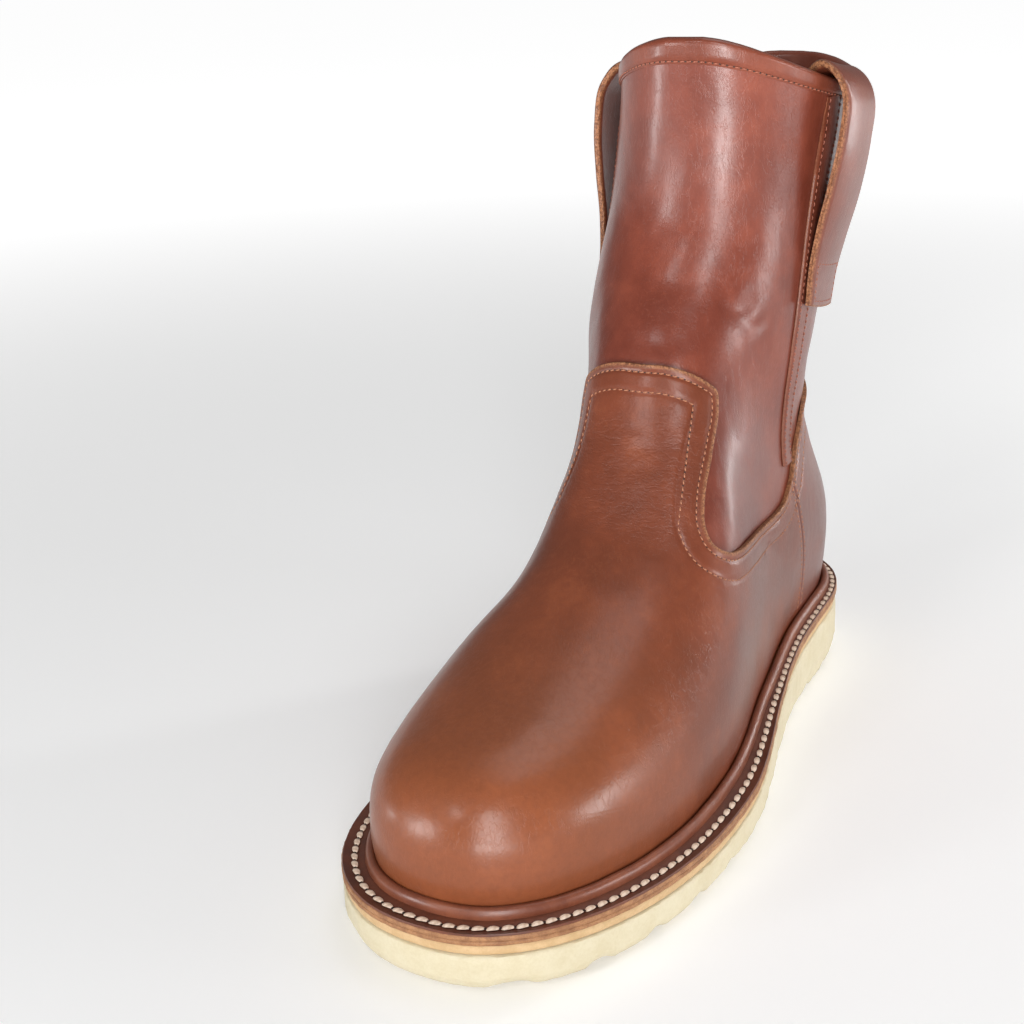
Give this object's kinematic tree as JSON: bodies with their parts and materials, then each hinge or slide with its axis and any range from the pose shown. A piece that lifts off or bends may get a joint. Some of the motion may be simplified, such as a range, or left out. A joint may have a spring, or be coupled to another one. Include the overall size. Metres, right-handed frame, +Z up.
{
  "type": "pull-on work boot",
  "caption": "Pull-on leather work boot, left foot: hollow shaft with pull loops, plug vamp, heel counter, stitched welt and a pale wedge sole.",
  "frame": {"origin": "on the floor, on the flat of the tread under the heel, below the axis of the leg", "axes": "+Z up, -Y towards the toe, +X towards the outer (lateral) side of this left boot"},
  "size_m": [0.12, 0.2982, 0.2646],
  "materials": {
    "leather": "oiled, glossy",
    "strap": "satin, raw edges",
    "welt": "satin",
    "lining": "matte",
    "midsole": "matte",
    "sole": "matte"
  },
  "bodies": {
    "root": {"upper": "leather", "vamp": "leather", "counter": "leather", "side_strip_lateral": "leather", "side_strip_medial": "leather", "collar_binding": "leather", "pull_loop_lateral": "strap", "pull_loop_medial": "strap", "welt": "welt", "insole": "lining", "midsole": "midsole", "outsole": "sole"}
  },
  "joints": []
}
